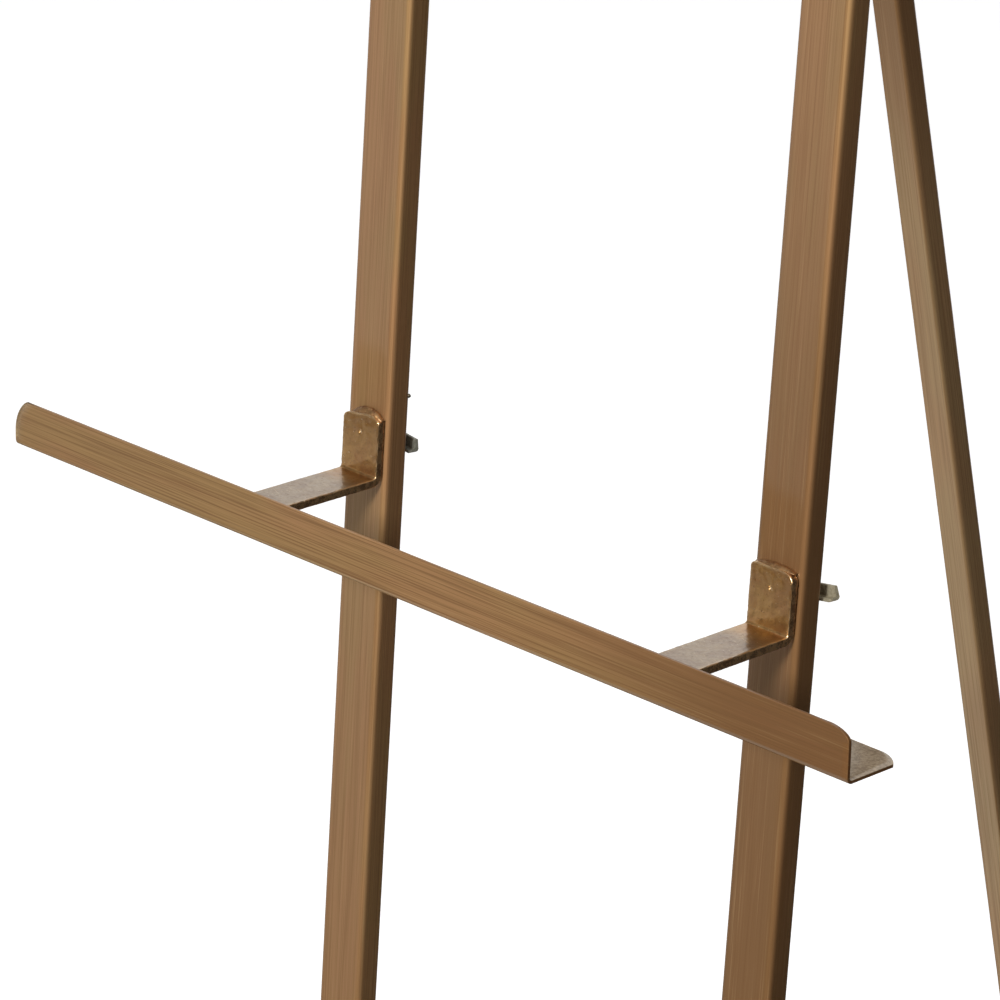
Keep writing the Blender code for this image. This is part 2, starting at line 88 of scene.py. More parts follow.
# Camera
CAMERA_PLACE = Vector((1.3558, -1.4929, 1.3763))
CAMERA_DIRECTION = Vector((-0.6809, 0.64671, -0.34382))
CAMERA_UP = Vector((-0.2592, 0.22644, 0.93896))
CAMERA_LENS = 158.19

# Centre-punch mark on each tab
MARK_REACH = 1.3 * MM
MARK_DEPTH = 0.7 * MM
# radius of the painted glint in the punch mark
MARK_GLINT = 0.5 * MM
MARK_GRID = [step * 0.25 * MM for step in range(-6, 7)]
FAR_FROM_MARK = 1.0             # any distance at which no mark shows

# Depths of the unevenness worked into the surfaces
TUBE_WAVES = 0.1 * MM
LEDGE_WAVES = 0.14 * MM
LEDGE_PITS = 0.08 * MM
BAR_DENTS = 0.16 * MM
BAR_PITS = 0.1 * MM
BAR_SIDE_DENTS = 0.4 * MM
BAR_SIDE_PITS = 0.14 * MM

# Finish of the metal
METALLIC = 0.97
COAT = 0.7
COAT_ROUGHNESS = 0.12
WEAR_AND_HIGHLIGHT_REACH = 0.9 * MM           # how far in from an edge the bars are rubbed pale and carry a painted highlight
PAINTED_SHADE_SHARE = 0.85               # how much of its darker colour, as painted shade, a shaded piece takes
# Pale speckled colour: a painted sheen on the ledge flange's upper face, and real dullness on the lip's
# ground end
SPECKLED_SHARE = 0.85
SPECKLED_LIGHT = (0.56, 0.46, 0.32)
SPECKLED_DARK = (0.34, 0.265, 0.17)
# The arm's colour away from the bend: a painted greyish sheen of the bright surroundings
ARM_SHEEN_SHARE = 0.75
ARM_SHEEN_LIGHT = Vector((0.36, 0.29, 0.215))
ARM_SHEEN_DARK = Vector((0.28, 0.21, 0.15))
PIT_COLOUR = (0.12, 0.06, 0.028)
SPECK_COLOUR = (0.85, 0.68, 0.42)
# colour of the painted glint in the punch mark
MARK_GLINT_COLOUR = (0.95, 0.85, 0.6)
CUT_EDGE_LIGHT = (0.78, 0.5, 0.25)
CUT_EDGE_DARK = (0.36, 0.2, 0.1)

# Frames of reference, from the model's joints
joints = {joint["name"]: joint for joint in frame["joints"]}
stud_axis = Vector(joints["left_lever_turn"]["axis"])
stud_place = Vector(joints["left_lever_turn"]["pos_m"])
hinge_place = Vector(joints["rear_leg_fold"]["pos_m"])
LEAN = atan2(-stud_axis.z, stud_axis.y)
SPREAD = -radians(joints["rear_leg_fold"]["range_deg"][0])
along_leg = Vector((0, sin(LEAN), cos(LEAN)))
leg_foot = Vector((0, stud_place.y, stud_place.z)) - along_leg * (TAB_TOP - STUD_BELOW_TOP)
front_place = Matrix.Translation(leg_foot) @ Matrix.Rotation(-LEAN, 4, "X")
level_place = Matrix.Translation((0, leg_foot.y, 0))
rear_place = Matrix.Translation(hinge_place) @ Matrix.Rotation(SPREAD - LEAN, 4, "X")

SIDES = (("left", -1), ("right", 1))


def leg_centre(side):
    return side * LEG_SPACING / 2


# Shader helpers

def new_material(name, roughness, metallic, coat=0.0, coat_roughness=0.2):
    """Material with its constant gloss values on the shader, and the tree and shader to build on."""
    material = bpy.data.materials.new(name)
    material.use_nodes = True
    tree = material.node_tree
    shader = tree.nodes["Principled BSDF"]
    shader.inputs["Roughness"].default_value = roughness
    shader.inputs["Metallic"].default_value = metallic
    shader.inputs["Coat Weight"].default_value = coat
    shader.inputs["Coat Roughness"].default_value = coat_roughness
    return material, tree, shader


def add_node(tree, kind, links=None, values=None, **settings):
    made = tree.nodes.new(kind)
    for key, value in settings.items():
        setattr(made, key, value)
    for key, value in (values or {}).items():
        made.inputs[key].default_value = value
    for key, source in (links or {}).items():
        tree.links.new(source, made.inputs[key])
    return made


def place_on_piece(tree, stretch, turn=(0, 0, 0)):
    """The piece's own coordinates, turned and then scaled per axis."""
    coordinates = add_node(tree, "ShaderNodeTexCoord")
    turned = add_node(tree, "ShaderNodeMapping", {"Vector": coordinates.outputs["Object"]},
                      {"Rotation": turn})
    scaled = add_node(tree, "ShaderNodeMapping", {"Vector": turned.outputs["Vector"]}, {"Scale": stretch})
    return scaled.outputs["Vector"]


def grain(tree, vector, detail=3.0, roughness=0.55, distortion=0.0):
    made = add_node(tree, "ShaderNodeTexNoise", {"Vector": vector},
                    {"Scale": 1.0, "Detail": detail, "Roughness": roughness, "Distortion": distortion})
    return made.outputs["Fac"]


def levels(tree, source, low, high, to_low=0.0, to_high=1.0):
    """Smooth step from to_low at low to to_high at high."""
    made = add_node(tree, "ShaderNodeMapRange", {"Value": source},
                    {"From Min": low, "From Max": high, "To Min": to_low, "To Max": to_high},
                    interpolation_type="SMOOTHSTEP")
    return made.outputs["Result"]


def calculate(tree, operation, first, second):
    made = add_node(tree, "ShaderNodeMath", operation=operation)
    for socket, value in zip(made.inputs, (first, second)):
        if isinstance(value, (int, float)):
            socket.default_value = value
        else:
            tree.links.new(value, socket)
    return made.outputs["Value"]


def blend_colours(tree, factor, first, second):
    made = add_node(tree, "ShaderNodeMix", data_type="RGBA")
    tree.links.new(factor, made.inputs["Factor"])
    for socket, value in ((made.inputs["A"], first), (made.inputs["B"], second)):
        if isinstance(value, (tuple, Vector)):
            socket.default_value = (*value, 1)
        else:
            tree.links.new(value, socket)
    return made.outputs["Result"]


def mesh_value(tree, name):
    return add_node(tree, "ShaderNodeAttribute", attribute_name=name).outputs["Fac"]


def lay_over(tree, colour, mask, share, layer):
    """The colour with a share of the layer over it where the mask is 1."""
    return blend_colours(tree, calculate(tree, "MULTIPLY", mask, share), colour, layer)


def set_surface(tree, shader, colour, roughness, *layers):
    """Gives the shader its colour, roughness and stacked (height, depth in metres) layers of relief."""
    tree.links.new(colour, shader.inputs["Base Color"])
    tree.links.new(roughness, shader.inputs["Roughness"])
    normal = None
    for height, depth in layers:
        links = {"Height": height}
        if normal:
            links["Normal"] = normal
        bump = add_node(tree, "ShaderNodeBump", links, {"Strength": 1.0, "Distance": depth})
        normal = bump.outputs["Normal"]
    tree.links.new(normal, shader.inputs["Normal"])


# Finishes

def brushed_brass(name, along, olive, reddish, dark, light, turn=(0, 0, 0), streaks=0.28, painted_shade=None):
    """Lacquered brass-coloured finish over brushed steel, its brush lines along axis 0, 1 or 2.

    Where the mesh carries a value of 1 in "inner", the finish takes a pale speckled colour: a painted sheen
    on the ledge flange's upper face, and real dullness on the lip's ground end. toned gives an axis, the two
    places along it between which the finish darkens as painted shade, and the darker colour.
    """
    material, tree, shader = new_material(name, 0.3, METALLIC, COAT, COAT_ROUGHNESS)

    def stretched(across, lengthwise):
        stretch = tuple(lengthwise if axis == along else across for axis in range(3))
        return place_on_piece(tree, stretch, turn)

    patches = levels(tree, grain(tree, stretched(45, 9), 2.0), 0.38, 0.62)
    broad = levels(tree, grain(tree, stretched(650, 8), 2.0), 0.46, 0.72)
    fine_grain = grain(tree, stretched(1300, 12), 2.0, 0.6)
    fine = levels(tree, fine_grain, 0.42, 0.68)
    bright = levels(tree, grain(tree, stretched(1000, 14), 2.0), 0.56, 0.76)
    flecks = levels(tree, grain(tree, stretched(700, 300), 3.0, 0.7), 0.66, 0.78)
    colour = blend_colours(tree, patches, olive, reddish)
    # Painted shade: the finish darkens between two places along one axis
    if painted_shade:
        axis, plain, full, shade_colour = painted_shade
        position = add_node(tree, "ShaderNodeSeparateXYZ", {"Vector": place_on_piece(tree, (1, 1, 1))})
        distance = calculate(tree, "SUBTRACT", position.outputs[axis], plain)
        darkened = levels(tree, distance, 0, full - plain, 0, PAINTED_SHADE_SHARE)
        colour = blend_colours(tree, darkened, colour, shade_colour)
    colour = lay_over(tree, colour, broad, streaks, dark)
    colour = lay_over(tree, colour, fine, streaks * 1.5, dark)
    colour = lay_over(tree, colour, bright, 0.3, light)
    colour = lay_over(tree, colour, flecks, 0.3, dark)
    # painted pale sheen on the flange's upper face, real dullness on the ground end
    sheen_and_ground = mesh_value(tree, "sheen_and_ground")
    speckle_grain = grain(tree, place_on_piece(tree, (700, 700, 700)), 3.0, 0.7)
    speckles = levels(tree, speckle_grain, 0.4, 0.65)
    speckled = blend_colours(tree, speckles, SPECKLED_LIGHT, SPECKLED_DARK)
    colour = lay_over(tree, colour, sheen_and_ground, SPECKLED_SHARE, speckled)
    set_surface(tree, shader, colour, levels(tree, fine_grain, 0.3, 0.75, 0.64, 0.74),
                (fine_grain, 0.012 * MM), (grain(tree, stretched(60, 14), 2.0), 0.05 * MM))
    return material


def worn_brass(name, golden, deep, pale, arm_shade):
    """Hand-worked bar: speckled, darker in its pits, rubbed pale with a painted highlight on its edges,
    given a painted glint in its punch mark, and dulled along its arm under a painted greyish sheen.

    arm_shade scales the arm's painted sheen colours; below 1 it darkens them as painted shade.
    """
    material, tree, shader = new_material(name, 0.32, METALLIC, COAT, COAT_ROUGHNESS)
    position = place_on_piece(tree, (1, 1, 1))

    def mottle(size, detail=3.0, roughness=0.6):
        return grain(tree, place_on_piece(tree, (size, size, size)), detail, roughness)

    patches = levels(tree, mottle(110), 0.35, 0.65)
    pits_grain = mottle(600, 2.0, 0.6)
    pits = levels(tree, pits_grain, 0.6, 0.78)
    specks = levels(tree, mottle(900, 1.0, 0.5), 0.72, 0.78)
    scratch_grain = grain(tree, place_on_piece(tree, (60, 900, 900), (0, 0, 0.35)), 3.0, 0.7)
    scratches = levels(tree, scratch_grain, 0.6, 0.72)
    wear_and_highlight = mesh_value(tree, "wear_and_highlight")
    rough_edge = mesh_value(tree, "cut_edge")
    depth = add_node(tree, "ShaderNodeSeparateXYZ", {"Vector": position}).outputs["Y"]
    # along the arm the colour turns to a painted greyish sheen, darkened by arm_shade as painted shade
    arm = levels(tree, depth, ARM_SHEEN_FROM, ARM_SHEEN_TO)
    colour = blend_colours(tree, patches, golden, deep)
    dull_and_sheen = blend_colours(tree, patches, ARM_SHEEN_LIGHT * arm_shade, ARM_SHEEN_DARK * arm_shade)
    colour = lay_over(tree, colour, arm, ARM_SHEEN_SHARE, dull_and_sheen)
    colour = lay_over(tree, colour, pits, 0.5, PIT_COLOUR)
    scratched_arm = calculate(tree, "MULTIPLY", scratches, arm)
    colour = lay_over(tree, colour, scratched_arm, 0.4, pale)
    # edges rubbed pale, with a painted highlight along them
    worn = calculate(tree, "MULTIPLY", wear_and_highlight, levels(tree, mottle(260), 0.3, 0.55, 0.3, 1.0))
    colour = lay_over(tree, colour, worn, 0.85, pale)
    chips = levels(tree, mottle(300, 4.0, 0.75), 0.44, 0.58)
    edge_colour = blend_colours(tree, chips, CUT_EDGE_LIGHT, CUT_EDGE_DARK)
    colour = lay_over(tree, colour, rough_edge, 0.85, edge_colour)
    colour = lay_over(tree, colour, specks, 0.9, SPECK_COLOUR)
    # painted glint in the punch mark
    mark = mesh_value(tree, "mark")
    colour = blend_colours(tree, mark, colour, MARK_GLINT_COLOUR)
    set_surface(tree, shader, colour, levels(tree, pits_grain, 0.35, 0.75, 0.28, 0.45),
                (mottle(240, 2.0, 0.5), 0.2 * MM), (pits_grain, 0.035 * MM))
    return material


def rough_metal(name, base, dark, pale, metallic, roughness, size=700):
    """Cast, brazed or plated steel: mottled in three tones."""
    material, tree, shader = new_material(name, roughness, metallic, 0.2, 0.3)
    coarse = grain(tree, place_on_piece(tree, (size, size, size)), 4.0, 0.65)
    fine = grain(tree, place_on_piece(tree, (size * 3, size * 3, size * 3)), 2.0)
    colour = blend_colours(tree, levels(tree, coarse, 0.4, 0.65), base, dark)
    colour = lay_over(tree, colour, levels(tree, fine, 0.6, 0.75), 0.6, pale)
    uneven = levels(tree, coarse, 0.3, 0.7, roughness - 0.08, roughness + 0.15)
    set_surface(tree, shader, colour, uneven, (coarse, 0.08 * MM), (fine, 0.03 * MM))
    return material


def moulded(name, base, worn, roughness, size=900):
    """Moulded rubber or plastic with a fine spark-eroded grain and a little dust."""
    material, tree, shader = new_material(name, roughness, 0.0)
    skin = grain(tree, place_on_piece(tree, (size * 2, size * 2, size * 2)), 2.0, 0.6)
    dust_grain = grain(tree, place_on_piece(tree, (size / 8, size / 8, size / 8)), 4.0, 0.6)
    dust = levels(tree, dust_grain, 0.5, 0.8)
    colour = lay_over(tree, base, dust, 0.5, worn)
    uneven = levels(tree, skin, 0.3, 0.7, roughness - 0.06, roughness + 0.1)
    set_surface(tree, shader, colour, uneven, (skin, 0.03 * MM))
    return material


# Meshes

def shade(mesh, angle=40):
    mesh.shade_smooth()
    mesh.set_sharp_from_angle(angle=radians(angle))


def make_piece(name, points, faces, material, place=Matrix(), attributes=None, angle=40):
    mesh = bpy.data.meshes.new(name)
    mesh.from_pydata([tuple(point) for point in points], [], faces)
    builder = bmesh.new()
    builder.from_mesh(mesh)
    bmesh.ops.recalc_face_normals(builder, faces=builder.faces)
    builder.to_mesh(mesh)
    builder.free()
    mesh.transform(place)
    shade(mesh, angle)
    for key, values in (attributes or {}).items():
        mesh.attributes.new(key, "FLOAT", "POINT").data.foreach_set("value", values)
    mesh.materials.append(material)
    piece = bpy.data.objects.new(name, mesh)
    bpy.context.scene.collection.objects.link(piece)
    return piece


def skin_faces(rows, columns, looped, first=0):
    """Quads over rows of a closed ring; the two ends are capped unless the rows themselves form a loop."""
    faces = []
    for row in range(rows if looped else rows - 1):
        here = first + row * columns
        there = first + (row + 1) % rows * columns
        for column in range(columns):
            beside = (column + 1) % columns
            faces.append((here + column, here + beside, there + beside, there + column))
    if not looped:
        faces.append(tuple(range(first, first + columns)))
        faces.append(tuple(range(first + (rows - 1) * columns, first + rows * columns)))
    return faces


def skinned(name, rings, material, place=Matrix(), looped=False, attributes=None, angle=40):
    """Piece whose skin runs over closed rings of points."""
    points = [point for ring in rings for point in ring]
    faces = skin_faces(len(rings), len(rings[0]), looped)
    return make_piece(name, points, faces, material, place, attributes, angle)


def settle(piece, body, slot, *replaced):
    """Puts a finished piece on its body."""
    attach(piece, body)
    if replaced:
        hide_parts(*replaced)
    return piece


def steps(low, high, count):
    return [low + (high - low) * index / count for index in range(count + 1)]


def ripple(spot):
    """Smooth noise between 0 and 1."""
    return 0.5 + 0.5 * noise.noise(spot)


def rounded_rectangle(width, depth, radius, radius_down=None, corner=8, across=6, down=3):
    """Points round a rectangle with rounded corners, with their outward directions.

    radius is how far each corner reaches along the width, radius_down along the depth.
    """
    radii = Vector((radius, radius_down or radius))
    signs = ((1, 1), (-1, 1), (-1, -1), (1, -1))
    profile = []
    for quarter, (sign_x, sign_y) in enumerate(signs):
        middle = Vector((sign_x * (width / 2 - radii.x), sign_y * (depth / 2 - radii.y)))
        for index in range(corner + 1):
            angle = pi / 2 * (quarter + index / corner)
            direction = Vector((cos(angle) * radii.y, sin(angle) * radii.x)).normalized()
            profile.append((middle + Vector((cos(angle) * radii.x, sin(angle) * radii.y)), direction))
        next_x, next_y = signs[(quarter + 1) % 4]
        direction = Vector((cos(pi / 2 * (quarter + 1)), sin(pi / 2 * (quarter + 1))))
        following = Vector((next_x * (width / 2 - radii.x), next_y * (depth / 2 - radii.y)))
        reach = Vector((direction.x * radii.x, direction.y * radii.y))
        count = across if quarter % 2 == 0 else down
        for index in range(1, count):
            profile.append(((middle + reach).lerp(following + reach, index / count), direction))
    return profile


def tube(name, width, depth, low, high, material, place, seed):
    """Drawn tube along its own Z, open from end to end, its outside very slightly uneven."""
    outside = rounded_rectangle(width, depth, TUBE_EASE * width, TUBE_EASE_DOWN)
    inside = rounded_rectangle(width - 2 * TUBE_WALL, depth - 2 * TUBE_WALL, TUBE_RADIUS - TUBE_WALL)
    heights = steps(low, high, round((high - low) / TUBE_SPACING))
    rings = []
    for height in heights:
        ring = []
        for point, direction in outside:
            unevenness = ripple(Vector((point.x * 160 + seed, point.y * 160, height * 42)))
            point = point - direction * TUBE_WAVES * unevenness
            ring.append(Vector((point.x, point.y, height)))
        rings.append(ring)
    for height in reversed(heights):
        rings.append([Vector((point.x, point.y, height)) for point, _ in inside])
    return skinned(name, rings, material, place, looped=True)


class BentLine:
    """Centre line of a bent bar in the Y-Z plane: straight, round the bend, straight."""

    def __init__(self, start, corner, end, radius):
        self.start = Vector(start)
        corner = Vector(corner)
        end = Vector(end)
        self.first = (corner - self.start).normalized()
        self.second = (end - corner).normalized()
        self.bend = self.first.angle(self.second)
        self.radius = radius
        self.side = (self.second - self.first * self.first.dot(self.second)).normalized()
        cut_back = radius * tan(self.bend / 2)
        self.to_bend = (corner - self.start).length - cut_back
        self.past_bend = self.to_bend + radius * self.bend
        self.centre = corner - self.first * cut_back + self.side * radius
        self.bend_end = corner + self.second * cut_back
        self.length = self.past_bend + (end - corner).length - cut_back

    def at(self, distance):
        """Point, direction and the normal that points away from the inside of the bend."""
        if distance <= self.to_bend:
            return self.start + self.first * distance, self.first, -self.side
        if distance < self.past_bend:
            angle = (distance - self.to_bend) / self.radius
            spoke = self.first * sin(angle) - self.side * cos(angle)
            return self.centre + spoke * self.radius, self.first * cos(angle) + self.side * sin(angle), spoke
        outward = self.first * sin(self.bend) - self.side * cos(self.bend)
        return self.bend_end + self.second * (distance - self.past_bend), self.second, outward


def arc_rise(share):
    return 1 - sqrt(max(0.0, 1 - share * share))


def corner_cut(distance, across, along, first, last):
    """How far a corner has drawn the side in, at a distance from the end.

    The corner follows a stretched quarter circle from its share `first` to its share `last`: it meets the
    side smoothly when `first` is 0 and the end smoothly when `last` is 1.
    """
    if distance >= along:
        return 0.0
    share = first + (last - first) * (1 - max(0.0, distance) / along)
    return across * (arc_rise(share) - arc_rise(first)) / (arc_rise(last) - arc_rise(first))


def end_inset(distance, edge):
    if distance >= edge:
        return 0.0
    return edge - sqrt(max(0.0, edge * edge - (edge - distance) ** 2))


class Strip:
    """Flat bar or sheet swept along a bent line, with its own corner at each end of each side.

    corners maps (end, side) to the numbers of corner_cut; ends are "start" and "end", sides -1 and 1. edge
    is the rounding of the edges, spacing the distance between rings, mark the distance of a punch mark from
    the start and crown how far the start end bulges round CROWN_X.
    """

    def __init__(self, line, width, thickness, edge, corners, columns, spacing, mark=None, crown=0.0):
        self.line = line
        self.width = width
        self.thickness = thickness
        self.edge = edge
        self.corners = corners
        self.columns = columns
        self.mark = mark
        self.crown = crown
        self.distances = self.stations(spacing)

    def stations(self, spacing):
        length = self.line.length
        found = set(steps(0, length, round(length / spacing)))
        if self.mark:
            found.update(self.mark + offset for offset in MARK_GRID)
        found.update(steps(self.line.to_bend, self.line.past_bend, 8))
        for (end, _), (_, along, _, _) in self.corners.items():
            for index in range(1, 13):
                distance = along * (1 - cos(pi / 2 * index / 12))
                found.add(distance if end == "start" else length - distance)
        for index in range(1, 5):
            distance = self.edge * (1 - cos(pi / 2 * index / 4))
            found.update((distance, length - distance))
        kept = []
        for distance in sorted(found):
            if not kept or distance - kept[-1] > 0.02 * MM:
                kept.append(distance)
        return kept

    def half_width(self, distance, side):
        cut = 0.0
        for end, from_end in (("start", distance), ("end", self.line.length - distance)):
            cut += corner_cut(from_end, *self.corners[end, side])
        return self.width / 2 - cut

    def ring(self, distance):
        """(x, height above the centre line, outward direction) round the bar at one station."""
        inset = end_inset(min(distance, self.line.length - distance), self.edge)
        left = -self.half_width(distance, -1) + inset
        right = self.half_width(distance, 1) - inset
        half = self.thickness / 2 - inset
        edge = min(self.edge, half)
        low = left + edge
        high = right - edge
        columns = [low * (1 - column) / 2 + high * (1 + column) / 2 for column in self.columns]
        points = [(x, half, Vector((0, 1))) for x in columns]

        def round_edge(x, height, angles):
            for angle in angles:
                direction = Vector((cos(angle), sin(angle)))
                points.append((x + edge * direction.x, height + edge * direction.y, direction))

        round_edge(high, half - edge, steps(pi / 2, 0, 4)[1:])
        points.extend((right, (half - edge) * share, Vector((1, 0))) for share in (0.33, -0.33))
        round_edge(high, edge - half, steps(0, -pi / 2, 4)[:-1])
        points.extend((x, -half, Vector((0, -1))) for x in reversed(columns))
        round_edge(low, edge - half, steps(-pi / 2, -pi, 4)[1:])
        points.extend((left, (half - edge) * share, Vector((-1, 0))) for share in (-0.33, 0.33))
        round_edge(low, half - edge, steps(pi, pi / 2, 4)[:-1])
        return points

    def build(self, name, material, place, sink, dull_and_sheen=None):
        """sink(x, distance, direction, point) says how far in the skin lies; dull gives the share of a pale
        colour at each spot, which is painted sheen on the ledge flange's upper face and real grinding on the
        lip's ground end.
        """
        rings = []
        wear_and_highlight = []
        cut_edge = []
        sheen_and_ground = []
        mark = []
        for distance in self.distances:
            middle, heading, normal = self.line.at(distance)
            ring = []
            to_end = min(distance, self.line.length - distance)
            for x, height, direction in self.ring(distance):
                fading = max(0.0, 1 - distance / CROWN_DEPTH)
                bulge = self.crown * exp(-((x - CROWN_X) / CROWN_WIDTH) ** 2) * fading
                outward = Vector((direction.x, normal.x * direction.y, normal.y * direction.y))
                spot = middle + normal * height - heading * bulge
                point = Vector((x, spot.x, spot.y))
                ring.append(point - outward * sink(x, distance, direction, point))
                side = 1 if x > 0 else -1
                to_side = abs(self.half_width(distance, side) - abs(x))
                # pale near the edges: real rubbing and a painted highlight
                wear_and_highlight.append(exp(-min(to_side, to_end) / WEAR_AND_HIGHLIGHT_REACH))
                cut_edge.append(1.0 if abs(direction.x) > 0.8 else 0.0)
                sheen_and_ground.append(dull_and_sheen(x, distance, direction) if dull_and_sheen else 0.0)
                # painted glint at the punch mark's centre
                from_mark = Vector((x, distance - self.mark)).length if self.mark else FAR_FROM_MARK
                mark.append(exp(-(from_mark / MARK_GLINT) ** 2) if direction.y < 0 else 0.0)
            rings.append(ring)
        return skinned(name, rings, material, place,
                       attributes={"wear_and_highlight": wear_and_highlight, "cut_edge": cut_edge, "sheen_and_ground": sheen_and_ground, "mark": mark})


def bead(name, route, radii, material, place, looped=False, lumps=0.35, size=420, sides=14):
    """Weld or braze metal along a route: a lumpy rounded run.

    radii maps the share of the route to the run's two half-sizes, the first in the direction nearest to +Y
    or +X. lumps is how uneven it is, size how fine the unevenness.
    """
    rings = []
    for index, middle in enumerate(route):
        before = route[index - 1] if index or looped else route[0]
        after = route[(index + 1) % len(route)] if index + 1 < len(route) or looped else route[-1]
        direction = (after - before).normalized()
        across = Vector((0, 1, 0)) if abs(direction.y) < 0.7 else Vector((1, 0, 0))
        across = (across - direction * across.dot(direction)).normalized()
        up = direction.cross(across)
        first, second = radii(index / (len(route) - 1))
        ring = []
        for side in range(sides):
            angle = 2 * pi * side / sides
            spoke = across * cos(angle) * first + up * sin(angle) * second
            swell = 1 + lumps * noise.fractal((middle + spoke) * size, 0.9, 2.0, 3)
            ring.append(middle + spoke * swell)
        rings.append(ring)
    return skinned(name, rings, material, place, looped=looped, angle=70)


# Finishes in use

bracket_back = -GAP - BAR_THICK
tab_foot = TAB_TOP - TAB_HEIGHT
corner_y = bracket_back * cos(LEAN) + tab_foot * sin(LEAN)
corner_z = tab_foot * cos(LEAN) - bracket_back * sin(LEAN)
# where along the arm its painted sheen starts, and where it is full
ARM_SHEEN_FROM = leg_foot.y + corner_y - 2 * MM
ARM_SHEEN_TO = leg_foot.y + corner_y - 20 * MM

OLIVE = (0.46, 0.285, 0.128)
REDDISH = (0.485, 0.276, 0.13)
BRUSHED_DARK = (0.29, 0.15, 0.06)
BRUSHED_LIGHT = (0.66, 0.43, 0.22)
RUBBED_AND_HIGHLIT = (0.88, 0.64, 0.36)
front_turn = (LEAN, 0, 0)
rear_turn = (LEAN - SPREAD, 0, 0)
leg_brass = {
    "left": brushed_brass("left_leg_brass", 2, OLIVE, REDDISH, BRUSHED_DARK, BRUSHED_LIGHT, front_turn),
    # the right leg darkens towards the bottom: painted shade
    "right": brushed_brass("right_leg_brass", 2, OLIVE, REDDISH, BRUSHED_DARK, BRUSHED_LIGHT, front_turn,
                           painted_shade=("Z", 1.1, 0.62, (0.295, 0.155, 0.063))),
}
# the rear leg darkens towards its top: painted shade
rear_brass = brushed_brass("rear_leg_brass", 2, (0.5, 0.335, 0.17), (0.5, 0.31, 0.155), BRUSHED_DARK,
                           BRUSHED_LIGHT, rear_turn, painted_shade=("Z", 0.74, 0.92, (0.3, 0.16, 0.068)))
bar_brass = brushed_brass("crossbar_brass", 0, OLIVE, REDDISH, BRUSHED_DARK, BRUSHED_LIGHT, front_turn)
# the ledge darkens towards its right end: painted shade
ledge_brass = brushed_brass("ledge_brass", 0, (0.5, 0.31, 0.125), (0.51, 0.29, 0.125), (0.26, 0.13, 0.05),
                            (0.64, 0.43, 0.2), streaks=0.45, painted_shade=("X", 0.06, 0.24, (0.26, 0.12, 0.045)))
bracket_brass = {
    "left": worn_brass("left_bracket_brass", (0.53, 0.3, 0.1), (0.46, 0.24, 0.085), RUBBED_AND_HIGHLIT, 1.0),
    # the right arm's painted sheen is darker: painted shade
    "right": worn_brass("right_bracket_brass", (0.58, 0.335, 0.115), (0.5, 0.265, 0.095), RUBBED_AND_HIGHLIT, 0.66),
}
braze = rough_metal("braze", (0.36, 0.2, 0.085), (0.2, 0.1, 0.042), (0.58, 0.39, 0.19), 0.9, 0.46, 360)
plate_brass = rough_metal("plate_brass", (0.42, 0.26, 0.12), (0.3, 0.17, 0.075), (0.6, 0.42, 0.22),
                          1.0, 0.36, 300)
light_zinc = rough_metal("light_zinc", (0.42, 0.375, 0.26), (0.3, 0.26, 0.175), (0.62, 0.58, 0.45),
                         0.5, 0.4)
# darker copy of the zinc finish: painted shade on the left lever
shaded_zinc = rough_metal("shaded_zinc", (0.25, 0.245, 0.2), (0.16, 0.155, 0.125), (0.48, 0.46, 0.38), 0.5, 0.4)
steel = rough_metal("hardware_steel", (0.2, 0.17, 0.12), (0.12, 0.098, 0.07), (0.4, 0.36, 0.28), 0.9, 0.38)
plastic = moulded("cap_plastic", (0.022, 0.02, 0.018), (0.06, 0.055, 0.05), 0.5)
rubber = moulded("boot_rubber", (0.018, 0.018, 0.018), (0.07, 0.067, 0.062), 0.72)
nylon = moulded("spacer_nylon", (0.66, 0.64, 0.58), (0.5, 0.48, 0.42), 0.45)


# Tubes

LEG_SEED = 7.0
REAR_SEED = 3.0
BAR_SEED = 30                   # times the crossbar's height


def at_leg(side, height=0.0):
    return front_place @ Matrix.Translation((leg_centre(side), LEG_DEPTH / 2, height))


for word, side in SIDES:
    leg = tube(word + "_leg_tube", LEG_WIDTH, LEG_DEPTH, BOOT_BASE + GAP, LEG_TOP - GAP, leg_brass[word],
               at_leg(side), side * LEG_SEED)
    settle(leg, "front_frame", "brushed_brass", word + "_front_leg")

sideways = Matrix.Rotation(pi / 2, 4, "Y")
bar_half = (LEG_SPACING - LEG_WIDTH) / 2 - GAP
for name, height in CROSSBAR_HEIGHTS.items():
    place = front_place @ Matrix.Translation((0, LEG_DEPTH / 2, height)) @ sideways
    bar = tube(name + "_tube", LEG_WIDTH, LEG_DEPTH, -bar_half, bar_half, bar_brass, place,
               height * BAR_SEED)
    settle(bar, "front_frame", "brushed_brass", name)

hinge_height = hinge_place.z
rear_floor = -hinge_height / cos(SPREAD - LEAN)
rear = tube("rear_leg_tube", REAR_WIDTH, REAR_DEPTH, rear_floor + BOOT_BASE + GAP, REAR_ABOVE_HINGE,
            rear_brass, rear_place, REAR_SEED)
settle(rear, "rear_leg", "brushed_brass", "rear_leg")


# Ledge

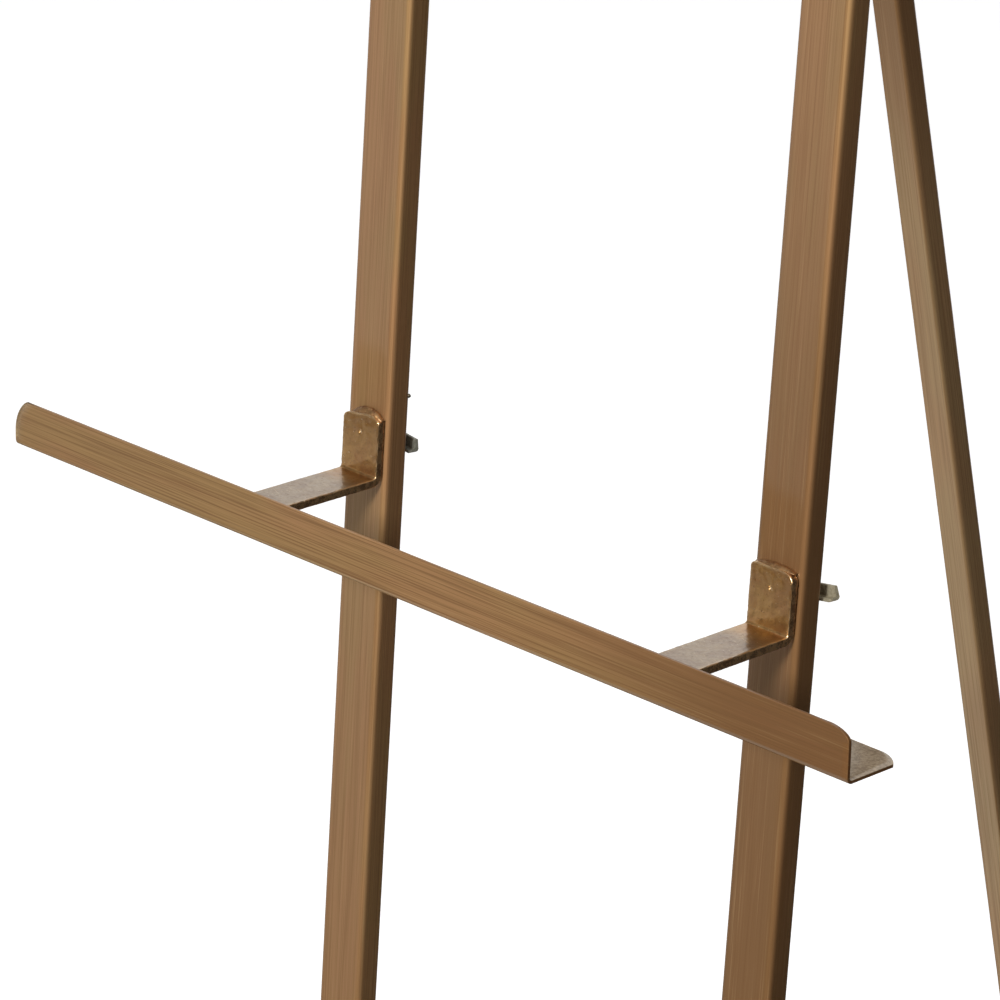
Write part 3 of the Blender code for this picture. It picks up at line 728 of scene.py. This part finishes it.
ledge_low, ledge_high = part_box("ledge")
ledge_front = ledge_low.y - leg_foot.y + LEDGE_THICK / 2
ledge_floor = ledge_low.z + LEDGE_THICK / 2
ledge_line = BentLine((ledge_front, ledge_high.z), (ledge_front, ledge_floor),
                      (ledge_high.y - leg_foot.y, ledge_floor), LEDGE_BEND)
LEDGE_CORNERS = {
    ("start", -1): (9 * MM, 16.8 * MM, 0, 0.86),
    ("start", 1): (13 * MM, 5.6 * MM, 0, 1),
    ("end", -1): (13.7 * MM, 6.6 * MM, 0.6, 1),
    ("end", 1): (13.7 * MM, 6.6 * MM, 0.6, 1),
}
GROUND_END = 4.5 * MM           # the lip's left end is ground over by hand across this width
GROUND_DEPTH = 1.1 * MM
GROUND_DULLNESS = 0.7
LEDGE_EDGE = 0.3 * MM
LEDGE_SPACING = 1.5 * MM


def ledge_sink(x, distance, direction, point):
    sink = LEDGE_WAVES * ripple(Vector((point.x * 22, point.y * 70, point.z * 70)))
    if abs(direction.x) > 0.1 or direction.y < 0.5:
        sink += LEDGE_PITS * ripple(point * 330)
    if direction.y > 0.5 and distance < ledge_line.to_bend:
        from_end = x + ledge_strip.half_width(distance, -1)
        if from_end < GROUND_END:
            sink += GROUND_DEPTH * (1 - from_end / GROUND_END) ** 2
    return sink


def ledge_dull_and_sheen(x, distance, direction):
    """The upper face of the flange takes a painted pale sheen, and the ground end of the lip is dulled."""
    if direction.y < 0:
        return 1.0 if distance > ledge_line.to_bend else 0.0
    from_end = x + ledge_strip.half_width(distance, -1)
    return GROUND_DULLNESS * max(0.0, 1 - from_end / GROUND_END) if distance < ledge_line.to_bend else 0.0


ledge_strip = Strip(ledge_line, ledge_high.x - ledge_low.x, LEDGE_THICK, LEDGE_EDGE, LEDGE_CORNERS,
                    steps(-1, 1, 150), LEDGE_SPACING)
ledge = ledge_strip.build("ledge_angle", ledge_brass, level_place, ledge_sink, ledge_dull_and_sheen)
settle(ledge, "front_frame", "worn_brass", "ledge")


# Ledge brackets

centre_back = -GAP - BAR_THICK / 2
tab_top = (centre_back * cos(LEAN) + TAB_TOP * sin(LEAN), TAB_TOP * cos(LEAN) - centre_back * sin(LEAN))
arm_z = corner_z - BAR_THICK / 2
arm_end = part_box("left_ledge_bracket")[0].y - leg_foot.y
bend_y = tab_top[0] - (tab_top[1] - arm_z) * tan(LEAN)
bracket_line = BentLine(tab_top, (bend_y, arm_z), (arm_end, arm_z), BAR_BEND)

BRACKET_CORNERS = {
    "left": {("start", -1): (5.4 * MM, 3.9 * MM, 0, 0.98), ("start", 1): (3.6 * MM, 1.7 * MM, 0.2, 0.9)},
    "right": {("start", -1): (2.4 * MM, 2.4 * MM, 0, 0.95), ("start", 1): (5.8 * MM, 4.4 * MM, 0, 0.99)},
}
CROWNS = {"left": 1.5 * MM, "right": 0.0}
MARKS_BELOW_TOP = {"left": 8.2 * MM, "right": 9.6 * MM}
ARM_CORNER = (3 * MM, 3 * MM, 0, 1)
BAR_EDGE = 0.75 * MM
BAR_SPACING = 0.9 * MM
BAR_SEED_SHIFT = 0.05           # makes the two bars' noise differ


def bracket_sink(seed, mark_below_top):
    def sink(x, distance, direction, point):
        spot = Vector((point.x + seed, point.y, point.z))
        found = BAR_DENTS * ripple(spot * 300) + BAR_PITS * ripple(spot * 900)
        if abs(direction.x) > 0.3:
            dent = max(0.0, noise.noise(spot * 520))
            found += BAR_SIDE_DENTS * dent + BAR_SIDE_PITS * ripple(spot * 1500)
        from_mark = Vector((x, distance - mark_below_top)).length
        if direction.y < -0.9 and from_mark < MARK_REACH:
            found += MARK_DEPTH * (1 - from_mark / MARK_REACH)
        return found
    return sink


bracket_columns = sorted(set(steps(-1, 1, 30)) | {offset / (BAR_WIDTH / 2) for offset in MARK_GRID})
for word, side in SIDES:
    corners = dict(BRACKET_CORNERS[word])
    corners.update({("end", -1): ARM_CORNER, ("end", 1): ARM_CORNER})
    strip = Strip(bracket_line, BAR_WIDTH, BAR_THICK, BAR_EDGE, corners, bracket_columns, BAR_SPACING,
                  MARKS_BELOW_TOP[word], CROWNS[word])
    place = level_place @ Matrix.Translation((leg_centre(side), 0, 0))
    bracket = strip.build(word + "_bent_bar", bracket_brass[word], place,
                          bracket_sink(side * BAR_SEED_SHIFT, MARKS_BELOW_TOP[word]))
    settle(bracket, "front_frame", "worn_brass", word + "_ledge_bracket")


# Braze over the tabs, and welds

BRAZE_RISE = {"left": 4.0 * MM, "right": 1.6 * MM}
BRAZE_PEAK = {"left": 1.9 * MM, "right": 0.0}
BRAZE_REACH = {"left": 10.8 * MM, "right": 12 * MM}
BRAZE_THICK = 2.7 * MM
BRAZE_FORWARD = 1.1 * MM        # from a tab's rear face to the middle of its braze
WELD_SINK = 0.5 * MM            # a run's middle below a tab's top or the ledge's underside
THINNEST_SHARE = 0.12
BAR_WELD = 1.5 * MM
LEDGE_WELD = 1.3 * MM
LEDGE_WELD_OUT = 0.3 * MM
LEDGE_WELD_FROM = 3 * MM
LEDGE_WELD_TO = 4 * MM


def tapered(first, second, power):
    """Half-sizes of a run that thins towards both ends."""
    def radii(share):
        left = max(THINNEST_SHARE, 1 - abs(2 * share - 1) ** power)
        return first * sqrt(left), second * left
    return radii


for word, side in SIDES:
    reach = BRAZE_REACH[word]
    middle = BRAZE_PEAK[word]
    route = []
    for across in steps(-reach, reach, 60):
        route.append(Vector((across + middle, -GAP - BRAZE_FORWARD, TAB_TOP - WELD_SINK)))
    place = front_place @ Matrix.Translation((leg_centre(side), 0, 0))
    run = bead(word + "_tab_braze", route, tapered(BRAZE_THICK, BRAZE_RISE[word] + WELD_SINK, 2.4), braze,
               place, lumps=0.12, size=330, sides=24)
    settle(run, "front_frame", "worn_brass")

for name, height in CROSSBAR_HEIGHTS.items():
    for word, side in SIDES:
        outline = rounded_rectangle(LEG_WIDTH - 0.5 * MM, LEG_DEPTH - 1.4 * MM, TUBE_RADIUS, None, 4, 20, 8)
        route = [Vector((side * (bar_half + 0.2 * MM), point.y, point.x)) for point, _ in outline]
        place = front_place @ Matrix.Translation((0, LEG_DEPTH / 2, height))
        run = bead(name + "_" + word + "_weld", route, lambda share: (BAR_WELD, BAR_WELD), braze, place,
                   looped=True, sides=10)
        settle(run, "front_frame", "worn_brass")

for word, side in SIDES:
    for name, edge in (("sheen_and_ground", -side), ("outer", side)):
        x = leg_centre(side) + edge * (BAR_WIDTH / 2 + LEDGE_WELD_OUT)
        rear_edge = ledge_high.y - leg_foot.y
        places = steps(arm_end + LEDGE_WELD_FROM, rear_edge - LEDGE_WELD_TO, 24)
        route = [Vector((x, y, ledge_low.z - WELD_SINK)) for y in places]
        run = bead(word + "_ledge_weld_" + name, route, tapered(LEDGE_WELD, LEDGE_WELD, 4), braze,
                   level_place, sides=10)
        settle(run, "front_frame", "worn_brass")


# A stray drop on the left leg's rear corner
DROP_RADIUS = 1.0 * MM
DROP_IN = 0.6 * MM
DROP_BEFORE_BACK = 0.9 * MM
DROP_ABOVE_TAB = 10.6 * MM
drop_x = leg_centre(-1) + LEG_WIDTH / 2 - DROP_IN
drop_middle = Vector((drop_x, LEG_DEPTH - DROP_BEFORE_BACK, TAB_TOP + DROP_ABOVE_TAB))
heights = steps(-1.05 * DROP_RADIUS, 1.05 * DROP_RADIUS, 10)
route = [drop_middle + Vector((0, 0, height)) for height in heights]
drop = bead("leg_weld_drop", route, tapered(DROP_RADIUS, DROP_RADIUS, 2), steel, front_place, lumps=0.2)
settle(drop, "front_frame", "worn_brass")


# Studs and turn levers

STUD_RADIUS = 3 * MM
THREAD_PITCH = 1 * MM
THREAD_DEPTH = 0.35 * MM
STUD_START = -2.6 * MM          # inside the tab
STUD_END = 22.3 * MM
STUD_CHAMFER = 0.8 * MM
STUD_SIDES = 28


def threaded_stud(name, place):
    """Stud along its own Z with a helical thread and a chamfered end."""
    rings = []
    for height in steps(STUD_START, STUD_END, 260):
        chamfer = max(0.0, height - STUD_END + STUD_CHAMFER)
        ring = []
        for index in range(STUD_SIDES):
            angle = 2 * pi * index / STUD_SIDES
            turn_share = (height / THREAD_PITCH - index / STUD_SIDES) % 1.0
            groove = THREAD_DEPTH * abs(2 * turn_share - 1)
            radius = min(STUD_RADIUS - groove, STUD_RADIUS - chamfer)
            ring.append(Vector((radius * cos(angle), radius * sin(angle), height)))
        rings.append(ring)
    return skinned(name, rings, steel, place, angle=60)


LEVER_THICK = 1.8 * MM
LEVER_ABOVE = 2.5 * MM
LEVER_BELOW = 4.6 * MM
LEVER_DEPTH = 4.8 * MM
LEVER_CORNER = 3 * MM
LEVER_CORNER_RISE = 2.4 * MM
LEVER_EDGE = 0.5 * MM
LEVER_FLARE = 0.2
LEVER_WINGS = {"left": (19 * MM, 15.7 * MM), "right": (19 * MM, 19 * MM)}
LEVER_TURNS = {"left": radians(7), "right": radians(-8)}
HUB_FLATS = 9.8 * MM
HUB_LENGTH = 5.3 * MM
HUB_CHAMFER = 0.5 * MM
HUB_BORE = STUD_RADIUS + 0.06 * MM
WASHER_THICK = 1.2 * MM
hub_start = LEG_DEPTH + GAP + WASHER_THICK + GAP


def rounded_outline(corners, radius, count=4):
    """Closed outline through (y, z) corners, each rounded."""
    outline = []
    total = len(corners)
    for index in range(total):
        corner = Vector(corners[index])
        before = (Vector(corners[index - 1]) - corner).normalized()
        after = (Vector(corners[(index + 1) % total]) - corner).normalized()
        start = corner + before * radius
        end = corner + after * radius
        for share in steps(0, 1, count):
            outline.append(start.lerp(corner, share).lerp(corner.lerp(end, share), share))
    return outline


def turn_lever(name, word, material, place):
    """Angle-section handle across a hexagon hub, bored for the stud."""
    rear = hub_start + LEVER_DEPTH
    section = rounded_outline([
        (hub_start, -LEVER_BELOW),
        (rear, -LEVER_BELOW),
        (rear, LEVER_ABOVE),
        (rear - LEVER_THICK, LEVER_ABOVE),
        (rear - LEVER_THICK, LEVER_THICK - LEVER_BELOW),
        (hub_start, LEVER_THICK - LEVER_BELOW),
    ], LEVER_EDGE)
    left_wing, right_wing = LEVER_WINGS[word]
    flare = LEVER_FLARE * (LEVER_ABOVE + LEVER_BELOW)
    rings = []
    stations = [-left_wing + LEVER_CORNER * (1 - cos(angle)) for angle in steps(0, pi / 2, 8)]
    stations += steps(-left_wing + 2 * LEVER_CORNER, right_wing - 2 * LEVER_CORNER, 16)
    stations += [right_wing - LEVER_CORNER * (1 - cos(angle)) for angle in reversed(steps(0, pi / 2, 8))]
    for x in stations:
        to_tip = min(x + left_wing, right_wing - x)
        share = abs(x) / (right_wing if x > 0 else left_wing)
        low = -LEVER_BELOW + corner_cut(to_tip, LEVER_CORNER_RISE, LEVER_CORNER, 0, 1)
        ring = []
        for point in section:
            lean_in = flare * (point.y + LEVER_BELOW) / (LEVER_ABOVE + LEVER_BELOW) * share
            along = x - lean_in * (1 if x > 0 else -1)
            ring.append(Vector((along, point.x, max(point.y, low))))
        rings.append(ring)
    points = [point for ring in rings for point in ring]
    faces = skin_faces(len(rings), len(section), False)
    full = HUB_FLATS / 2 / cos(pi / 6)
    hub = []
    for reach, radius in ((0.0, full - HUB_CHAMFER), (HUB_CHAMFER, full), (HUB_LENGTH - HUB_CHAMFER, full),
                          (HUB_LENGTH, full - HUB_CHAMFER), (HUB_LENGTH, HUB_BORE), (0.0, HUB_BORE)):
        for corner in range(6):
            angle = pi / 3 * (corner + 0.5)
            hub.append(Vector((radius * cos(angle), hub_start + reach, radius * sin(angle))))
    faces += skin_faces(6, 6, True, len(points))
    return make_piece(name, points + hub, faces, material, place, angle=35)


for word, side in SIDES:
    stud_spot = front_place @ Matrix.Translation((leg_centre(side), 0, TAB_TOP - STUD_BELOW_TOP))
    stud = threaded_stud(word + "_threaded_stud", stud_spot @ Matrix.Rotation(-pi / 2, 4, "X"))
    settle(stud, "front_frame", "dark_steel", word + "_stud")
    # the left lever takes the darker zinc copy as painted shade
    finish = shaded_zinc if side < 0 else light_zinc
    lever_spot = stud_spot @ Matrix.Rotation(LEVER_TURNS[word], 4, "Y")
    lever = turn_lever(word + "_lever_handle", word, finish, lever_spot)
    settle(lever, word + "_turn_lever", "dark_steel", word + "_turn_lever")


# Boots and end plugs

BOOT_GROOVES = (4.5 * MM, 8 * MM)
GROOVE_DEPTH = 0.45 * MM
RIM_HALF = 0.95 * MM            # half the thickness of the boot's rolled rim
RIM_RISE = 1.9 * MM
SOLE_BLEND = 10 * MM            # from the level sole up to where the leg's angle takes over
PLUG_ROUNDING = 0.5 * MM
SMALLEST_CORNER = 0.3 * MM


def lofted(name, width, depth, outline, material, place, shape=None):
    """Rounded-rectangle rings from (offset, height) pairs, each offset from the tube's own outline."""
    rings = []
    for offset, height in outline:
        ring = []
        corner = max(SMALLEST_CORNER, TUBE_RADIUS + offset)
        for point, _ in rounded_rectangle(width + 2 * offset, depth + 2 * offset, corner):
            spot = Vector((point.x, point.y, height))
            ring.append(shape(spot) if shape else spot)
        rings.append(ring)
    return skinned(name, rings, material, place, angle=50)


def boot(name, width, depth, tilt, shift, place, body, node):
    """Rubber boot with a rolled rim, two grooves round the base and a level sole."""
    wall = GAP + BOOT_WALL
    outline = [(wall - 4.5 * MM, 0.0), (wall - 0.9 * MM, 0.0)]
    outline += [(wall - 0.3 * MM, 0.25 * MM), (wall, 0.9 * MM)]
    for groove in BOOT_GROOVES:
        outline += [(wall, groove - 0.8 * MM), (wall - GROOVE_DEPTH, groove - 0.4 * MM)]
        outline += [(wall - GROOVE_DEPTH, groove + 0.4 * MM), (wall, groove + 0.8 * MM)]
    outline += [(wall - 0.25 * MM, 12 * MM), (wall - 0.7 * MM, 26 * MM)]
    for angle in steps(-pi / 2, pi / 2, 8):
        offset = wall - RIM_HALF + RIM_HALF * cos(angle)
        outline.append((offset, BOOT_HEIGHT - 2 * MM + RIM_RISE * sin(angle)))
    outline += [(GAP, BOOT_HEIGHT - 0.6 * MM), (GAP, BOOT_BASE), (-4 * MM, BOOT_BASE)]

    def level_sole(spot):
        weight = max(0.0, 1 - spot.z / SOLE_BLEND)
        return Vector((spot.x, spot.y, spot.z + weight * (shift + spot.y) * tan(tilt)))

    piece = lofted(name, width, depth, outline, rubber, place, level_sole)
    settle(piece, body, "rubber", node)


def plug(name, width, depth, place, body, node):
    """Moulded plug head with a softened rim and a slightly dished top."""
    outline = [(-2 * MM, -8 * MM), (-1.9 * MM, 0.0), (-0.05 * MM, 0.0)]
    for angle in steps(0, pi / 2, 5):
        offset = -PLUG_ROUNDING + PLUG_ROUNDING * cos(angle)
        outline.append((offset, PLUG_HEAD - PLUG_ROUNDING + PLUG_ROUNDING * sin(angle)))
    for inset, dip in ((1.6 * MM, 0.02 * MM), (2.2 * MM, 0.22 * MM), (4.5 * MM, 0.25 * MM)):
        outline.append((-inset, PLUG_HEAD - dip))
    piece = lofted(name, width, depth, outline, plastic, place)
    settle(piece, body, "black_plastic", node)


for word, side in SIDES:
    boot(word + "_boot", LEG_WIDTH, LEG_DEPTH, LEAN, LEG_DEPTH / 2, at_leg(side), "front_frame",
         word + "_foot")
    plug(word + "_plug", LEG_WIDTH, LEG_DEPTH, at_leg(side, LEG_TOP), "front_frame", word + "_leg_cap")
rear_spot = rear_place @ Matrix.Translation((0, 0, rear_floor))
boot("rear_boot", REAR_WIDTH, REAR_DEPTH, LEAN - SPREAD, 0.0, rear_spot, "rear_leg", "rear_foot")
plug("rear_plug", REAR_WIDTH, REAR_DEPTH, rear_place @ Matrix.Translation((0, 0, REAR_ABOVE_HINGE + GAP)),
     "rear_leg", "rear_leg_cap")


# Hardware that keeps its CAD shape

def carry_over(name, material, ease=0.0):
    """A CAD node with a finish of its own and, where asked, its sharp edges eased."""
    node = nodes[name]
    node.data.materials.clear()
    node.data.materials.append(material)
    shade(node.data, 32)
    if ease:
        modifier = node.modifiers.new("eased edges", "BEVEL")
        modifier.width = ease
        modifier.segments = 2
        modifier.limit_method = "ANGLE"
        modifier.angle_limit = radians(40)
        modifier.harden_normals = True
    return node


for word, side in SIDES:
    carry_over(word + "_washer", light_zinc, 0.2 * MM)
    carry_over("hinge_rivet_" + word, plate_brass)
    carry_over("hinge_spacer_" + word, nylon, 0.15 * MM)
carry_over("hinge_bracket", plate_brass, 0.35 * MM)
carry_over("hinge_bolt", steel, 0.25 * MM)
carry_over("hinge_washer", steel, 0.15 * MM)
carry_over("hinge_cap_nut", steel)


# Studio

def softbox(name, place, aim, width, height, power):
    light = bpy.data.lights.new(name, "AREA")
    light.shape = "RECTANGLE"
    light.size = width
    light.size_y = height
    light.energy = power
    lamp = bpy.data.objects.new(name, light)
    lamp.location = place
    lamp.rotation_euler = (Vector(aim) - Vector(place)).to_track_quat("-Z", "Y").to_euler()
    lamp.visible_camera = False
    bpy.context.scene.collection.objects.link(lamp)
    return lamp


def studio_world(base, lobes, seen):
    """Surroundings that shine softly from a few directions; the camera sees the colour `seen` instead.

    base shines from all round. A lobe is its direction, the angles within which it is full and beyond
    which it is gone, its colour and its strength.
    """
    world = bpy.data.worlds.new("studio")
    bpy.context.scene.world = world
    world.use_nodes = True
    tree = world.node_tree
    direction = add_node(tree, "ShaderNodeTexCoord").outputs["Generated"]
    total = None
    for middle, sheen_and_ground, outer, colour, strength in lobes:
        facing = add_node(tree, "ShaderNodeVectorMath", {0: direction}, operation="DOT_PRODUCT")
        facing.inputs[1].default_value = middle.normalized()
        amount = levels(tree, facing.outputs["Value"], cos(radians(outer)), cos(radians(sheen_and_ground)))
        tint = add_node(tree, "ShaderNodeVectorMath", {"Scale": amount}, operation="SCALE")
        tint.inputs[0].default_value = Vector(colour) * strength
        if total is None:
            total = tint.outputs["Vector"]
        else:
            both = add_node(tree, "ShaderNodeVectorMath", {0: total, 1: tint.outputs["Vector"]})
            total = both.outputs["Vector"]
    lit = add_node(tree, "ShaderNodeVectorMath", {0: total})
    lit.inputs[1].default_value = Vector(base)
    camera_ray = add_node(tree, "ShaderNodeLightPath").outputs["Is Camera Ray"]
    colour = blend_colours(tree, camera_ray, lit.outputs["Vector"], seen)
    tree.links.new(colour, tree.nodes["Background"].inputs["Color"])


def towards(azimuth, elevation):
    """Direction from its angle round from +X, towards +Y, and its angle above the horizon."""
    level = cos(radians(elevation))
    return Vector((level * cos(radians(azimuth)), level * sin(radians(azimuth)), sin(radians(elevation))))


WARM_WHITE = (1.0, 0.98, 0.95)
WHITE = (1.0, 1.0, 1.0)
studio_world(
    (0.035, 0.03, 0.025),
    [
        (towards(-139, -1), 7, 26, WARM_WHITE, 0.7),
        (towards(180, 0), 14, 38, WHITE, 0.5),
        (towards(146, 22), 12, 36, (0.97, 0.99, 1.0), 0.66),
        (towards(-90, 85), 22, 50, WHITE, 0.75),
        (towards(100, -6), 14, 34, WHITE, 0.5),
        (towards(112, 24), 12, 32, WHITE, 0.5),
        (towards(-15, 50), 10, 30, WHITE, 0.5),
        (towards(-134, -58), 18, 36, (0.96, 1.0, 0.93), 0.95),
    ],
    WHITE,
)
KEY_AIM = Vector((0, -0.18, 0.65))
KEY_DISTANCE = 4.0
KEY_SIZE = 0.7
KEY_WATTS = 165
softbox("key", KEY_AIM + towards(-74, 26) * KEY_DISTANCE, KEY_AIM, KEY_SIZE, KEY_SIZE, KEY_WATTS)

FLOOR_HALF = 9
floor_corners = [(x * FLOOR_HALF, y * FLOOR_HALF, 0) for x, y in ((-1, -1), (1, -1), (1, 1), (-1, 1))]
floor_mesh = bpy.data.meshes.new("floor")
floor_mesh.from_pydata(floor_corners, [], [(0, 1, 2, 3)])
floor = bpy.data.objects.new("floor", floor_mesh)
bpy.context.scene.collection.objects.link(floor)
floor_material, _, floor_shader = new_material("floor_paper", 0.9, 0.0)
floor_shader.inputs["Base Color"].default_value = (0.9, 0.9, 0.9, 1)
floor_shader.inputs["Emission Color"].default_value = (1, 1, 1, 1)
floor_shader.inputs["Emission Strength"].default_value = 0.5
floor_mesh.materials.append(floor_material)
floor.visible_glossy = False

bpy.context.scene.view_settings.view_transform = "Standard"


# Camera

camera_data = bpy.data.cameras.new("camera")
camera_data.sensor_width = 36
camera_data.lens = CAMERA_LENS
camera_data.clip_end = 50
camera = bpy.data.objects.new("camera", camera_data)
back = -CAMERA_DIRECTION.normalized()
up = (CAMERA_UP - back * CAMERA_UP.dot(back)).normalized()
turn = Matrix((up.cross(back), up, back)).transposed()
camera.matrix_world = Matrix.Translation(CAMERA_PLACE) @ turn.to_4x4()
bpy.context.scene.collection.objects.link(camera)
bpy.context.scene.camera = camera
